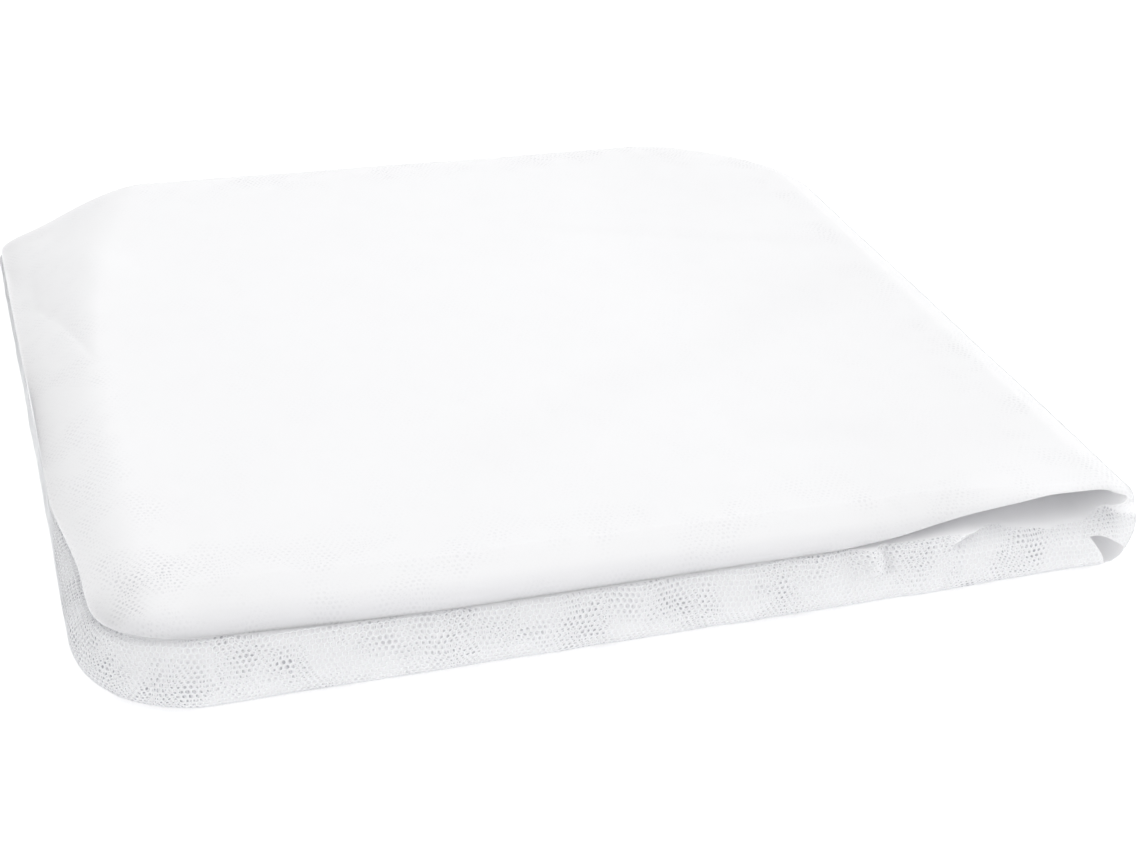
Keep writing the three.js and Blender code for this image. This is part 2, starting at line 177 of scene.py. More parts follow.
def outline(along):
    """Place and outward direction at each way along the outline."""
    place, out = np.zeros((len(along), 2)), np.zeros((len(along), 2))
    start = 0.0
    for stretch in outline_stretches():
        length = stretch_length(stretch)
        here = (along >= start) & (along <= start + length)
        way = along[here] - start
        kind, x, y, heading, size = stretch
        if kind == "round":
            angle = math.radians(heading) + way / size
            out[here] = np.column_stack([np.cos(angle), np.sin(angle)])
            place[here] = np.array([x, y]) + size * out[here]
        else:
            place[here] = np.array([x, y]) + way[:, None] * np.array(heading)
            out[here] = (heading[1], -heading[0])
        start += length
    return place, out


def along_side(side, coordinate):
    """Way along the outline to a place on a straight side, by its x or y."""
    start = 0.0
    for stretch in outline_stretches():
        kind, x, y, heading, _ = stretch
        if kind == side:
            return start + (coordinate - x) * heading[0] + (coordinate - y) * heading[1]
        start += stretch_length(stretch)


def side_shares(along):
    """How much of each kind of side there is at each way along the outline."""
    stops = [(kind, along_side(side, a), along_side(side, b)) for kind, side, a, b in STATIONS]
    stops.append(("front", PERIMETER, PERIMETER))
    shares = np.zeros((len(along), len(KINDS)))
    for (kind, start, end), (after, next_start, _) in zip(stops, stops[1:]):
        inside = (along >= start) & (along <= end)
        shares[inside, KINDS.index(kind)] = 1
        between = (along > end) & (along < next_start)
        turned = ease(end, next_start, along[between])
        shares[between, KINDS.index(kind)] += 1 - turned
        shares[between, KINDS.index(after)] += turned
    shares[along >= PERIMETER, 0] = 1
    return shares


def crease_depth(x, y, creases):
    """Depth of long shallow creases that run out at both ends."""
    depth = np.zeros_like(x)
    for x0, y0, x1, y1, deep, wide in creases:
        length = math.hypot(x1 - x0, y1 - y0)
        way = ((x - x0) * (x1 - x0) + (y - y0) * (y1 - y0)) / length**2
        across = ((x - x0) * (y1 - y0) - (y - y0) * (x1 - x0)) / length
        ends = ease(0, 0.2, way) * ease(1.12, 0.75, way)
        depth += deep * np.exp(-((across / wide) ** 2)) * ends
    return depth


def ripples(u, v, seed, height, shortest, longest, count=14):
    """An uneven, gentle surface: a sum of a few waves with random directions."""
    random = np.random.default_rng(seed)
    total = np.zeros(np.broadcast(u, v).shape)
    for _ in range(count):
        length = random.uniform(shortest, longest)
        heading, phase = random.uniform(0, math.pi), random.uniform(0, 2 * math.pi)
        way = u * math.cos(heading) + v * math.sin(heading)
        total = total + np.sin(way * 2 * math.pi / length + phase)
    return total * height / math.sqrt(count / 2)


def far_corner(x, y):
    """How much of the far right corner's drop there is, from none to all."""
    return ease(0, 2600, np.maximum(0, x - 100) * np.maximum(0, y - 100))


def dome(x, y):
    """1 in the middle of the pack, falling to 0 at its sides."""
    return np.clip(1 - (x / HALF_WIDTH) ** 2, 0, 1) * np.clip(1 - (y / HALF_DEPTH) ** 2, 0, 1)


def slope_head(y):
    """Where the top starts to fall to the left: further in towards the back."""
    return -139 + 37 * np.clip((y + 80) / 236, 0, 1) ** 3


def top_height(x, y):
    """Top of the pack: a low dome, tilted to the right, falling to the left and to the ear."""
    lift = 0.9 * np.exp(-(((x - 122) / 28) ** 2) - ((y + 155) / 35) ** 2)
    flat = PACK_HEIGHT - TILT_TO_RIGHT * x + DOME_RISE * dome(x, y) + lift - 3 * far_corner(x, y)
    back = np.clip((y + 80) / 236, 0, 1)
    head, foot, low = slope_head(y), -166 + 2 * back, 22 - 13.5 * ease(0, 1, back)
    fall = ease(0, 1, (head - x) / (head - foot))
    uneven = ripples(x, y, 4, 0.12, 35, 110)
    return flat + (low - flat) * fall - crease_depth(x, y, TOP_CREASES) + uneven


def opening_back(y):
    """How nearly the opening has closed, from its front to its back."""
    return ease(-153, -126, y)


def stack_sink(x, y):
    """The lower folds' top sinks towards the roll, most at the front."""
    return STACK_SINK * ease(95, 138, x) * (1 - 0.8 * opening_back(y))


def stack_height(x, y):
    """Top of the lower folds."""
    flat = STACK_HEIGHT + STACK_DOME * dome(x, y) - 3 * far_corner(x, y)
    edge = STACK_HEIGHT + (EAR_STACK_HEIGHT - STACK_HEIGHT) * ease(-45, 125, y)
    head = slope_head(y)
    foot = np.minimum(-150, head - 14)
    height = flat + (edge - flat) * ease(0, 1, (x - head) / (foot - head))
    lift = CORNER_LIFT * ease(-55, -150, x) * ease(-118, -150, y)
    room = np.maximum(0, top_height(x, y) - FLAP_GAP - LEAST_OVER - height)
    return height + np.minimum(lift, room) - stack_sink(x, y)


def flap_underside(x, y):
    """The top fold's underside: close to the lower folds, with more room at the opening."""
    rise = OPENING_RISE * (1 - 0.85 * opening_back(y))
    at_corner = ease(-120, -155, x) * ease(-70, -110, y)
    gap = FLAP_GAP * (0.05 + 0.95 * ease(40, 90, x) + 0.5 * at_corner)
    return stack_height(x, y) + stack_sink(x, y) + gap + rise * ease(50, 120, x)


def smooth_line(knots, parts):
    """A smooth curve through rows of points, with so many parts between two rows."""
    gap = np.sqrt(np.maximum(np.linalg.norm(np.diff(knots, axis=0), axis=2), 1e-6))[..., None]
    slope = np.diff(knots, axis=0) / gap
    heading = np.empty_like(knots)
    heading[0], heading[-1] = slope[0], slope[-1]
    heading[1:-1] = (slope[:-1] * gap[1:] + slope[1:] * gap[:-1]) / (gap[1:] + gap[:-1])
    rows = []
    for k in range(len(knots) - 1):
        for t in np.arange(parts) / parts:
            a, b = 2 * t**3 - 3 * t**2 + 1, t**3 - 2 * t**2 + t
            c, d = -2 * t**3 + 3 * t**2, t**3 - t**2
            inner = gap[k] * (b * heading[k] + d * heading[k + 1])
            rows.append(a * knots[k] + c * knots[k + 1] + inner)
    rows.append(knots[-1])
    return np.array(rows)


# Creases of the lower folds' front and left side, from way along and height to way along and
# height, with depth and half width: a faint dent, a crumple, and a tucked fold at the opening
SIDE_CREASES = [
    (82, 4.5, 112, 9.2, 0.5, 2.2),
    (20, 3, 60, 12, 0.35, 4),
    (150, 15, 175, 7, 0.4, 3),
    (197.5, 12, 194.5, 21, -2.0, 2.2),
    (202, 11, 199.5, 20.5, 1.7, 1.8),
    (184, 13, 190, 19, 1.1, 4.5),
    (219, 18.1, 240, 20.8, -2.2, 1.1),
    (221, 16.2, 244, 18.6, 2.4, 1.5),
]


def side_relief(along, height):
    """How far the lower folds' side stands out or in, in soft uneven waves and creases."""
    way = np.where(along > PERIMETER - 60, along - PERIMETER, along)
    edge = ease(0, 3, height) * ease(24, 19, height)
    waves = ripples(way, height * 1.6, 8, 0.22, 16, 60)
    shares = side_shares(np.mod(along, PERIMETER).ravel())
    calm = shares[:, KINDS.index("ear") :].sum(axis=1).reshape(along.shape)
    return waves * edge * (1 - 0.75 * calm) - crease_depth(way, height, SIDE_CREASES)


def side_rows(along, parts):
    """Points of the side, row by row from the table up and over to the top, at each way along."""
    place, out = outline(np.mod(along, PERIMETER))
    shares = side_shares(np.mod(along, PERIMETER))
    knots = []
    for _, base, *kinds in PROFILE:
        inset, height = (shares @ np.array(kinds, float)).T
        at = place - out * inset[:, None]
        if base == "top":
            height = height + top_height(at[:, 0], at[:, 1])
        knots.append(np.column_stack([at, height]))
    rows = smooth_line(np.array(knots), parts)
    relief = side_relief(np.broadcast_to(np.mod(along, PERIMETER), rows.shape[:2]), rows[..., 2])
    relief[CREASE_ROW * parts + parts // 2 :] = 0
    rows[..., :2] += out * relief[..., None]
    return rows


def way_up(rows):
    """Length along the surface from the first row to each row."""
    steps = np.linalg.norm(np.diff(rows, axis=0), axis=2)
    return np.concatenate([np.zeros((1, rows.shape[1])), np.cumsum(steps, axis=0)])


# How plainly the holes show below and above the crease, and how strong the painted shade of
# the crease is on the top fold's edge, each for the kinds of side in their order. On the pressed
# top the holes hardly show.
# The holes' grey is painted shade inside them; below the crease it is set strongest on the left
# side, which lies in shade.
OPEN_BELOW = np.array([0.9, 0.8, 0.8, 0.8, 0.8, 1.0, 1.0, 1.5, 1.1])
OPEN_ABOVE = np.array([0.22, 0.15, 0.15, 0.2, 0.3, 0.2, 0.2, 0.35, 0.7])
PAINTED_CREASE_SHADE = np.array([1, 1, 0.6, 0, 0, 0, 0, 0.7, 1])
OPEN_ON_TOP = 0.04


def openness(along, on_lower_folds):
    """How plainly the net's holes show: most on the lower folds, least on the pressed top."""
    shares = side_shares(np.mod(along, PERIMETER))
    return shares @ (OPEN_BELOW if on_lower_folds else OPEN_ABOVE)


def make_object(name, points, faces, unfolded=None):
    """A mesh object from points in millimetres, with each face corner's place on the cloth."""
    mesh = bpy.data.meshes.new(name)
    mesh.from_pydata((points * 0.001).tolist(), [], faces)
    if unfolded is not None:
        layer = mesh.uv_layers.new(name="cloth")
        layer.data.foreach_set("uv", np.concatenate(unfolded).ravel())
    made = bpy.data.objects.new(name, mesh)
    bpy.context.scene.collection.objects.link(made)
    return made


# Parts of the side between two profile rows, the rings' shares of the way in over the top, and
# the steps along the outline: wide ones, and fine ones by the crumple
SIDE_PARTS, WIDE_STEP, FINE_STEP = 5, 2.3, 0.65
FINE_START, FINE_END = 190, 244
TOP_SHARES = np.concatenate([np.linspace(0.006, 0.14, 24), np.linspace(0.155, 0.97, 48)])


def outside(name):
    """The pack's outside, closed: side rows, then rings in to the middle of the top."""
    along, start = [], 0.0
    for stretch in outline_stretches():
        length = stretch_length(stretch)
        count = max(14, round(length / WIDE_STEP))
        along.append(start + length * np.arange(count) / count)
        start += length
    along = np.concatenate(along)
    fine = np.arange(FINE_START, FINE_END, FINE_STEP)
    along = np.concatenate([along[along < FINE_START], fine, along[along > FINE_END]])
    rows = side_rows(along, SIDE_PARTS)
    count = len(along)
    rim = rows[-1]
    rings = []
    for share in TOP_SHARES:
        x, y = rim[:, 0] * (1 - share), rim[:, 1] * (1 - share)
        rings.append(np.column_stack([x, y, top_height(x, y)]))
    grid = np.concatenate([rows, np.array(rings)])
    length = way_up(rows)
    _, out = outline(along)
    hanging = (length[-1] - length)[..., None] * out + rim[:, :2]
    on_top = np.concatenate([hanging, np.array(rings)[..., :2]])
    on_side = np.stack([np.broadcast_to(along, length.shape), length], -1)
    split = CREASE_ROW * SIDE_PARTS
    middle = np.array([[0, 0, 0], [0, 0, float(top_height(np.zeros(1), np.zeros(1))[0])]])
    points = np.concatenate([grid.reshape(-1, 3), middle])
    under, over = len(points) - 2, len(points) - 1
    faces, unfolded = [], []
    for i in range(count):
        j = (i + 1) % count
        faces.append((under, j, i))
        unfolded.append(np.array([[0, 0], grid[0, j, :2], grid[0, i, :2]]))
        last = (len(grid) - 1) * count
        faces.append((last + i, last + j, over))
        unfolded.append(np.array([grid[-1, i, :2], grid[-1, j, :2], [0, 0]]))
    for r in range(len(grid) - 1):
        for i in range(count):
            j = (i + 1) % count
            near, far = r * count, (r + 1) * count
            faces.append((near + i, near + j, far + j, far + i))
            if r < split:
                turned = [PERIMETER, 0] if j == 0 else [0, 0]
                after, above = on_side[r, j] + turned, on_side[r + 1, j] + turned
                corners = [on_side[r, i], after, above, on_side[r + 1, i]]
            else:
                corners = [on_top[r, i], on_top[r, j], on_top[r + 1, j], on_top[r + 1, i]]
            unfolded.append(np.array(corners))
    made = make_object(name, points, faces, unfolded)
    open_rows = [openness(along, r <= split) for r in range(len(rows))]
    edge = open_rows[-1]
    for share in TOP_SHARES:
        open_rows.append(OPEN_ON_TOP + (edge - OPEN_ON_TOP) * ease(0.16, 0.0, share))
    values = np.concatenate([np.concatenate(open_rows), [0.5, OPEN_ON_TOP]])
    made.data.attributes.new("openness", "FLOAT", "POINT").data.foreach_set("value", values)
    # Painted shade of the crease: a grey tone on the top fold's edge just above it, most at the
    # front and the near left corner.
    up = np.arange(len(rows)) - split
    on_edge = ease(1, 7, up) * ease(16, 8, up)
    at_front = side_shares(np.mod(along, PERIMETER)) @ PAINTED_CREASE_SHADE
    folded = np.outer(on_edge, at_front).ravel()
    values = np.concatenate([folded, np.zeros(len(points) - len(folded))])
    made.data.attributes.new("painted_crease_shade", "FLOAT", "POINT").data.foreach_set("value", values)
    return made


def swept(name, section_at, depths):
    """A closed solid through sections that all have the same points, from front to back."""
    sections = [section_at(y) for y in depths]
    count = len(sections[0])
    points = np.array([(x, y, z) for y, section in zip(depths, sections) for x, z in section])
    faces = []
    for s in range(len(depths) - 1):
        for i in range(count):
            j = (i + 1) % count
            near, far = s * count, (s + 1) * count
            faces.append((near + i, near + j, far + j, far + i))
    faces.append(tuple(reversed(range(count))))
    faces.append(tuple((len(depths) - 1) * count + i for i in range(count)))
    unfolded = [points[list(face), :2] for face in faces]
    return make_object(name, points, faces, unfolded)


def flap_section(y):
    """The space under the top fold, cut across at one depth of the pack."""
    places = np.concatenate([np.linspace(-178, -138, 9), np.linspace(-134, 130, 70)])
    upper = np.column_stack([places, flap_underside(places, y + 0 * places)])
    lower = np.column_stack([places, stack_height(places, y + 0 * places)])[::-1]
    floor, roof = lower[0, 1], upper[-1, 1]
    wall = np.array([(x, floor + (roof - floor) * share) for x, share in ROLL_WALL])
    wall = smooth_line(wall[:, None, :], 3)[:, 0, :]
    return np.concatenate([upper, wall, lower]).tolist()


def slot_section(y):
    """The slot beside the roll, cut across: widest at the front, closing further in."""
    edge = smooth_line(np.array(SLOT_EDGE + SLOT_EDGE[:1], float)[:, None, :], 4)[:-1, 0, :]
    size = 0.12 + 0.88 * ease(-146, -155, y)
    return (np.array(SLOT_MIDDLE) * (1 - size) + edge * size).tolist()


def fold_section(share_at, start, end):
    """A thin space between two lower folds, at a share of the lower folds' height."""

    def section(y):
        places = np.linspace(start, end, 60)
        lower = share_at(places) * stack_height(places, y + 0 * places)
        upper = np.column_stack([places, lower + FOLD_GAP])
        return np.concatenate([upper, np.column_stack([places, lower])[::-1]]).tolist()

    return section


net = outside("net_folds")
over_floor = fold_section(lambda x: 0.27 - 0.08 * ease(60, 145, x), -148, 149.5)
over_middle = fold_section(lambda x: 0.62 + 0 * x, -178, 131)
depths = np.concatenate([[-178], np.linspace(-168, 160, 60), [178]])
spaces = [
    swept("space_under_top_fold", flap_section, depths),
    swept("slot_beside_roll", slot_section, depths[depths < -145]),
    swept("space_over_floor_fold", over_floor, depths[depths > -142]),
    swept("space_over_middle_fold", over_middle, depths[depths > -120]),
]
for space in spaces:
    cut = net.modifiers.new(space.name, "BOOLEAN")
    cut.object = space
    cut.operation = "DIFFERENCE"
    cut.solver = "MANIFOLD"
finished = net.evaluated_get(bpy.context.evaluated_depsgraph_get())
cut_net = bpy.data.meshes.new_from_object(finished)
net.modifiers.clear()
net.data = cut_net
for space in spaces:
    bpy.data.objects.remove(space)
net.data.shade_smooth()
net.data.set_sharp_from_angle(angle=math.radians(55))


# Real spacing of the net's six-sided holes in millimetres, as it shows in the photo
HOLE_SPACING = 1.8


def colour(code):
    """Linear colour of an sRGB hex code."""
    parts = [int(code[i : i + 2], 16) / 255 for i in (0, 2, 4)]
    return [c / 12.92 if c <= 0.04045 else ((c + 0.055) / 1.055) ** 2.4 for c in parts] + [1.0]


THREAD_WHITE = colour("F5F5F7")


def add(nodes, kind, inputs=(), **settings):
    """Adds a node with its settings, and its inputs as values or links."""
    node = nodes.new(kind)
    for name, value in settings.items():
        setattr(node, name, value)
    for socket, value in dict(inputs).items():
        if isinstance(value, bpy.types.NodeSocket):
            nodes.id_data.links.new(value, node.inputs[socket])
        else:
            node.inputs[socket].default_value = value
    return node


def new_material(name):
    material = bpy.data.materials.new(name)
    material.use_nodes = True
    nodes = material.node_tree.nodes
    nodes.clear()
    surface = add(nodes, "ShaderNodeBsdfPrincipled")
    add(nodes, "ShaderNodeOutputMaterial", {"Surface": surface.outputs["BSDF"]})
    return material, nodes, surface


def holes(nodes, place, pitch, turned, shift):
    """One layer of net: 1 in the middle of each hole, 0 on the threads between the holes."""
    spin = {"Vector": place, "Angle": math.radians(turned)}
    turned_place = add(nodes, "ShaderNodeVectorRotate", spin, rotation_type="Z_AXIS").outputs[0]
    tall = pitch * math.sqrt(3)
    in_cells = {0: turned_place, 1: (1 / pitch, 1 / tall, 0), 2: shift}
    cell = add(nodes, "ShaderNodeVectorMath", in_cells, operation="MULTIPLY_ADD").outputs[0]
    reaches = []
    for offset in ((0, 0, 0), (0.5, 0.5, 0)):
        moved = add(nodes, "ShaderNodeVectorMath", {0: cell, 1: offset}, operation="ADD")
        part = add(nodes, "ShaderNodeVectorMath", {0: moved.outputs[0]}, operation="FRACTION")
        from_middle = {0: part.outputs[0], 1: (-0.5, -0.5, 0)}
        centred = add(nodes, "ShaderNodeVectorMath", from_middle, operation="ADD")
        in_mm = {0: centred.outputs[0], 1: (pitch, tall, 0)}
        sized = add(nodes, "ShaderNodeVectorMath", in_mm, operation="MULTIPLY")
        length = add(nodes, "ShaderNodeVectorMath", {0: sized.outputs[0]}, operation="LENGTH")
        reaches.append(length.outputs["Value"])
    reach = add(nodes, "ShaderNodeMath", {0: reaches[0], 1: reaches[1]}, operation="MINIMUM")
    inside = {"Value": reach.outputs[0], "From Min": 0.48 * pitch, "From Max": 0.26 * pitch}
    return add(nodes, "ShaderNodeMapRange", inside, interpolation_type="SMOOTHSTEP").outputs[0]


# White polyester bed net: fine knitted threads, matte and a little translucent. The holes show
# the layers below, painted darker the deeper they lie as shade inside the holes, darkest where
# the holes of several layers meet. The top fold's edge just above the crease is painted grey as
# the crease's shade.
net_cloth, nodes, surface = new_material("white polyester net, layered")
place = add(nodes, "ShaderNodeUVMap", uv_map="cloth").outputs[0]
# The layers are pulled a little askew against each other, so the meeting holes make patches
wander = {"Vector": place, "Scale": 0.06, "Detail": 2.0}
drift = add(nodes, "ShaderNodeTexNoise", wander).outputs[1]
pull = {0: drift, 1: (7, 7, 0), 2: place}
pulled = add(nodes, "ShaderNodeVectorMath", pull, operation="MULTIPLY_ADD").outputs[0]
push = {0: drift, 1: (-6, 5, 0), 2: place}
pushed = add(nodes, "ShaderNodeVectorMath", push, operation="MULTIPLY_ADD").outputs[0]
first = holes(nodes, pulled, HOLE_SPACING, 0.0, (0.1, 0.2, 0))
second = holes(nodes, pushed, HOLE_SPACING - 0.02, 6.5, (0.4, 0.3, 0))
third = holes(nodes, place, HOLE_SPACING + 0.02, -9.0, (0.7, 0.1, 0))
two = {0: first, 1: second}
through_two = add(nodes, "ShaderNodeMath", two, operation="MULTIPLY").outputs[0]
three = {0: through_two, 1: third}
through_all = add(nodes, "ShaderNodeMath", three, operation="MULTIPLY").outputs[0]
# Painted shade in the holes: each deeper layer seen through them is coloured darker.
one_deep = {0: first, 6: THREAD_WHITE, 7: colour("F0F0F2")}
lower = add(nodes, "ShaderNodeMix", one_deep, data_type="RGBA").outputs[2]
two_deep = {0: through_two, 6: lower, 7: colour("D8D8DC")}
deeper = add(nodes, "ShaderNodeMix", two_deep, data_type="RGBA").outputs[2]
three_deep = {0: through_all, 6: deeper, 7: colour("ACACB2")}
deepest = add(nodes, "ShaderNodeMix", three_deep, data_type="RGBA").outputs[2]
# The holes show in patches, where the layers lie loose, and hardly where they are pressed flat
blotches = {"Vector": place, "Scale": 0.05, "Detail": 2.0}
patches = add(nodes, "ShaderNodeTexNoise", blotches).outputs[0]
loose = {"Value": patches, "From Min": 0.42, "From Max": 0.6, "To Min": 0.12}
patchy = add(nodes, "ShaderNodeMapRange", loose).outputs[0]
openness_here = add(nodes, "ShaderNodeAttribute", attribute_name="openness").outputs["Fac"]
open_patch = {0: openness_here, 1: patchy}
shown = add(nodes, "ShaderNodeMath", open_patch, operation="MULTIPLY").outputs[0]
net_colours = {0: shown, 6: THREAD_WHITE, 7: deepest}
holed = add(nodes, "ShaderNodeMix", net_colours, data_type="RGBA").outputs[2]
# Painted shade: the top fold's edge over the crease is mixed towards grey.
painted_crease_shade = add(nodes, "ShaderNodeAttribute", attribute_name="painted_crease_shade").outputs["Fac"]
crease_shade_strength = {0: painted_crease_shade, 1: 0.38}
crease_shade_share = add(nodes, "ShaderNodeMath", crease_shade_strength, operation="MULTIPLY").outputs[0]
crease_shade_colours = {0: crease_shade_share, 6: holed, 7: colour("BEBEC3")}
cloth_colour = add(nodes, "ShaderNodeMix", crease_shade_colours, data_type="RGBA").outputs[2]
bumpy = add(nodes, "ShaderNodeMath", {0: shown, 1: 0.5}, operation="MULTIPLY").outputs[0]
threads_stand = {"Height": first, "Strength": bumpy, "Distance": 0.0002}
relief = add(nodes, "ShaderNodeBump", threads_stand, invert=True)
matte = {"Roughness": 0.8, "Specular IOR Level": 0.2, "Subsurface Weight": 0.6}
for socket, value in matte.items():
    surface.inputs[socket].default_value = value
surface.inputs["Subsurface Radius"].default_value = (1, 1, 1)
surface.inputs["Subsurface Scale"].default_value = 0.012
nodes.id_data.links.new(cloth_colour, surface.inputs["Base Color"])
nodes.id_data.links.new(relief.outputs[0], surface.inputs["Normal"])
net.data.materials.clear()
net.data.materials.append(net_cloth)

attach(net, "root")
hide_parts("folded_net")


# Outer layer of net round the sides
# The same cloth's outermost layer, knitted from one fine thread into six-sided holes 1.8 mm
# apart. It stands a little clear of the layers below, so its holes show them.
THREAD_WIDTH, THREAD_HEIGHT = 0.36, 0.18
LAYER_LIFT = 0.12
BAND_STEPS = np.arange(0, PERIMETER, 1.2)


def even_band(first_row, last_row, step):
    """The side between two profile rows, as points at even steps round it and up it."""
    along = BAND_STEPS
    rows = side_rows(along, 8)[first_row * 8 : last_row * 8 + 1]
    length = way_up(rows)
    up = np.arange(0, length[-1].max() + step, step)
    points = np.empty((len(along), len(up), 3))
    for i in range(len(along)):
        for axis in range(3):
            points[i, :, axis] = np.interp(up, length[:, i], rows[:, i, axis])
    return points, length[-1], step


def on_band(band, along, up):
    """Place and outward direction on a band."""
    points, _, step = band
    count = len(points)
    across = np.mod(along, PERIMETER) / PERIMETER * count
    i = np.floor(across).astype(int) % count
    j = np.clip(np.floor(up / step).astype(int), 0, points.shape[1] - 2)
    s, t = (across - np.floor(across))[:, None], np.clip(up / step - j, 0, 1)[:, None]
    a, b = points[i, j], points[(i + 1) % count, j]
    c, d = points[i, j + 1], points[(i + 1) % count, j + 1]
    at = (a * (1 - s) + b * s) * (1 - t) + (c * (1 - s) + d * s) * t
    out = np.cross((b - a) + (d - c), (c - a) + (d - b))
    return at, out / np.maximum(np.linalg.norm(out, axis=1), 1e-9)[:, None]


def knitted(name, cloth_at, wide, tall, keep, pitch=HOLE_SPACING):
    """A net of six-sided holes as one closed mesh. Threads have a ridge above and one below.
    Each crossing has a top, a bottom and three corners between its three threads."""
    reach = pitch / math.sqrt(3)
    line_gap = 1.5 * reach
    columns = np.arange(math.floor(wide[0] / pitch), math.ceil(wide[1] / pitch) + 1)
    lines = np.arange(math.floor(tall[0] / line_gap), math.ceil(tall[1] / line_gap) + 1)
    i, j = np.meshgrid(np.arange(len(columns)), np.arange(len(lines)))
    centre_u = (columns[i] + 0.5 * (lines[j] % 2)) * pitch
    centre_v = lines[j] * 1.5 * reach
    crossings = {}
    for kind, side in (("high", 1), ("low", -1)):
        crossings[kind] = (centre_u, centre_v + side * reach)
    corner = THREAD_WIDTH / math.sqrt(3)
    angles = {"high": (30, 150, 270), "low": (90, 210, 330)}
    number = {}
    blocks_u, blocks_v, lift = [], [], []
    kept = {}
    base = 0
    for kind, (u, v) in crossings.items():
        kept[kind] = keep(u, v)
        for part in ("top", "bottom", *angles[kind]):
            du = dv = 0.0
            if part not in ("top", "bottom"):
                angle = math.radians(part)
                du, dv = corner * math.cos(angle), corner * math.sin(angle)
            number[kind, part] = base + np.arange(u.size).reshape(u.shape)
            blocks_u.append((u + du).ravel())
            blocks_v.append((v + dv).ravel())
            height = {"top": THREAD_HEIGHT / 2, "bottom": -THREAD_HEIGHT / 2}.get(part, 0.0)
            lift.append(np.full(u.size, height))
            base += u.size
    at, out = cloth_at(np.concatenate(blocks_u), np.concatenate(blocks_v))
    points = at + out * np.concatenate(lift)[:, None]
    faces = []
    rows, cols = i.shape
    odd = (lines[j] % 2).astype(int)
    threads = [
        (2, np.zeros_like(odd), 90, (150, 30), (210, 330)),
        (1, odd, 330, (30, 270), (90, 210)),
        (1, odd - 1, 210, (270, 150), (330, 90)),
    ]
    ended = {"high": {}, "low": {}}
    for up, step, heading, mine, other in threads:
        to_j, to_i = j + up, i + step
        exists = (to_j < rows) & (to_i >= 0) & (to_i < cols)
        safe_j, safe_i = np.where(exists, to_j, 0), np.where(exists, to_i, 0)
        joined = exists & kept["high"] & kept["low"][safe_j, safe_i]
        get = lambda part: number["high", part][joined]
        put = lambda part: number["low", part][safe_j[joined], safe_i[joined]]
        left, right = mine
        far_left, far_right = other
        faces.append(np.column_stack([get("top"), put("top"), put(far_left), get(left)]))
        faces.append(np.column_stack([get("top"), get(right), put(far_right), put("top")]))
        faces.append(np.column_stack([get("bottom"), get(left), put(far_left), put("bottom")]))
        faces.append(np.column_stack([get("bottom"), put("bottom"), put(far_right), get(right)]))
        ended["high"][heading] = kept["high"] & ~joined
        met = np.zeros_like(joined)
        met[safe_j[joined], safe_i[joined]] = True
        ended["low"][(heading + 180) % 360] = kept["low"] & ~met
    for kind, ends in ended.items():
        for heading, loose in ends.items():
            left, right = (heading + 60) % 360, (heading - 60) % 360
            pick = lambda part: number[kind, part][loose]
            faces.append(np.column_stack([pick("top"), pick(right), pick("bottom"), pick(left)]))
    faces = np.concatenate(faces)
    used, packed = np.unique(faces, return_inverse=True)
    made = make_object(name, points[used], packed.reshape(faces.shape).tolist())
    made.data.shade_smooth()
    return made


def in_opening(points):
    """True for points in the space under the top fold or in the slot."""
    x, y, z = points.T
    inside = (x < 130) & (z > stack_height(x, y) + 0.1) & (z < flap_underside(x, y) - 0.1)
    by_slot = (x > 140) & (x < 154) & (y < -146)
    for section_at, near in ((flap_section, x >= 130), (slot_section, by_slot)):
        for k in np.nonzero(near & ~inside)[0]:
            ax, az = np.array(section_at(float(y[k]))).T
            bx, bz = np.roll(ax, -1), np.roll(az, -1)
            crosses = (az > z[k]) != (bz > z[k])
            meets = ax + (z[k] - az) / np.where(bz == az, 1, bz - az) * (bx - ax)
            inside[k] = np.count_nonzero(crosses & (x[k] < meets)) % 2 == 1
    return inside


def drawn(u, v):
    """The net is pulled a little askew here and there."""
    return u + ripples(u, v, 21, 0.45, 14, 45), v + ripples(u, v, 22, 0.3, 14, 45)


def side_net(name, band, start, end, first_up, spare, sunk=None):
    """Net round the side from one way along to another, clear of the openings.
    Where it is sunk, it lies in among the layers below and its holes don't show."""

    def cloth_at(u, v):
        u, v = drawn(u, v)
        at, out = on_band(band, u, v)
        lift = LAYER_LIFT - (sunk(u, v) if sunk else np.zeros(len(u)))
        return at + out * lift[:, None], out

    def keep(u, v):
        u, v = drawn(u, v)
        at, _ = on_band(band, u.ravel(), v.ravel())
        lengths = np.interp(np.mod(u.ravel(), PERIMETER), BAND_STEPS, band[1])
        fits = (u.ravel() > start) & (u.ravel() < end)
        fits &= (v.ravel() > first_up) & (v.ravel() < lengths - spare)
        fits[fits] &= ~in_opening(at[fits])
        if sunk:
            fits &= sunk(u.ravel(), v.ravel()) < LAYER_LIFT + THREAD_HEIGHT
        return fits.reshape(u.shape)

    return knitted(name, cloth_at, (start, end), (first_up, band[1].max()), keep)


def pressed_in(u, v):
    """The top fold's edge: its outer layer is pressed flat in front and where the top starts."""
    shares = side_shares(np.mod(u, PERIMETER))
    lengths = np.interp(np.mod(u, PERIMETER), BAND_STEPS, upper_band[1])
    smooth = 1 - shares[:, KINDS.index("right")] - shares[:, KINDS.index("back")]
    return 0.5 * ease(0.1, 0.7, smooth) + 0.5 * ease(-9, -4.5, v - lengths)


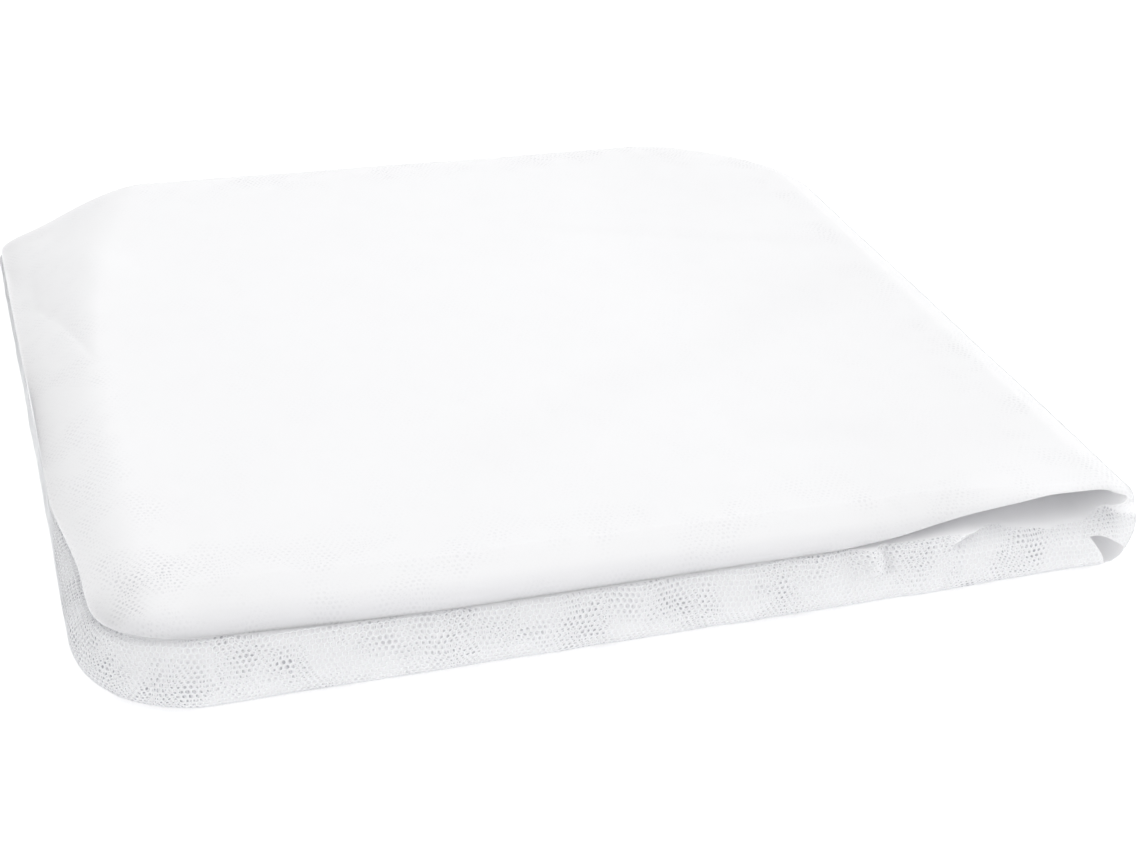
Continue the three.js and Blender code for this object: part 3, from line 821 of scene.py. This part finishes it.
lower_band = even_band(0, 6, 0.4)
upper_band = even_band(7, 10, 0.4)
left_start = along_side("left", 150) - PERIMETER
right_start = along_side("right", -150)
layers = [
    side_net("outer_net_front_left", lower_band, left_start, right_start, 0.6, 0.5),
    side_net("outer_net_right_back", lower_band, right_start, left_start + PERIMETER, 0.6, 0.5),
    side_net("outer_net_top_edge", upper_band, 0, PERIMETER, 0.4, 0.3, pressed_in),
]

# The outer layer's own thread: bright white polyester, slightly glossy where it bends
net_thread, nodes, surface = new_material("white polyester net thread")
surface.inputs["Base Color"].default_value = colour("F8F9FB")
surface.inputs["Roughness"].default_value = 0.6
surface.inputs["Sheen Weight"].default_value = 0.1
surface.inputs["Specular IOR Level"].default_value = 0.3
for layer in layers:
    layer.data.materials.append(net_thread)
    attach(layer, "root")


# Table and light
# A plain near-white table top, a soft white room and one wide soft light overhead to the right.
table = bpy.data.meshes.new("table")
HALF_TABLE, TABLE_TOP = 6.0, -0.0006
table_corners = [
    (-HALF_TABLE, -HALF_TABLE, TABLE_TOP),
    (HALF_TABLE, -HALF_TABLE, TABLE_TOP),
    (HALF_TABLE, HALF_TABLE, TABLE_TOP),
    (-HALF_TABLE, HALF_TABLE, TABLE_TOP),
]
table.from_pydata(table_corners, [], [(0, 1, 2, 3)])
table_top = bpy.data.objects.new("table_top", table)
bpy.context.scene.collection.objects.link(table_top)
table_paint, nodes, surface = new_material("matte white table")
surface.inputs["Base Color"].default_value = colour("FAFAFA")
surface.inputs["Emission Color"].default_value = (1, 1, 1, 1)
surface.inputs["Emission Strength"].default_value = 0.35
surface.inputs["Roughness"].default_value = 0.9
surface.inputs["Specular IOR Level"].default_value = 0.0
table.materials.append(table_paint)

bpy.context.scene.view_settings.view_transform = "Standard"
world = bpy.data.worlds.new("white room")
bpy.context.scene.world = world
world.use_nodes = True
world.node_tree.nodes["Background"].inputs["Color"].default_value = (1, 1, 1, 1)
world.node_tree.nodes["Background"].inputs["Strength"].default_value = 0.78

light = bpy.data.lights.new("overhead light", "AREA")
light.shape = "SQUARE"
light.size = 2.4
light.energy = 22
overhead = bpy.data.objects.new("overhead light", light)
bpy.context.scene.collection.objects.link(overhead)
overhead.location = (1.1, 0.1, 1.9)
to_net = Vector((0, 0, 0)) - overhead.location
overhead.rotation_euler = to_net.to_track_quat("-Z", "Y").to_euler()
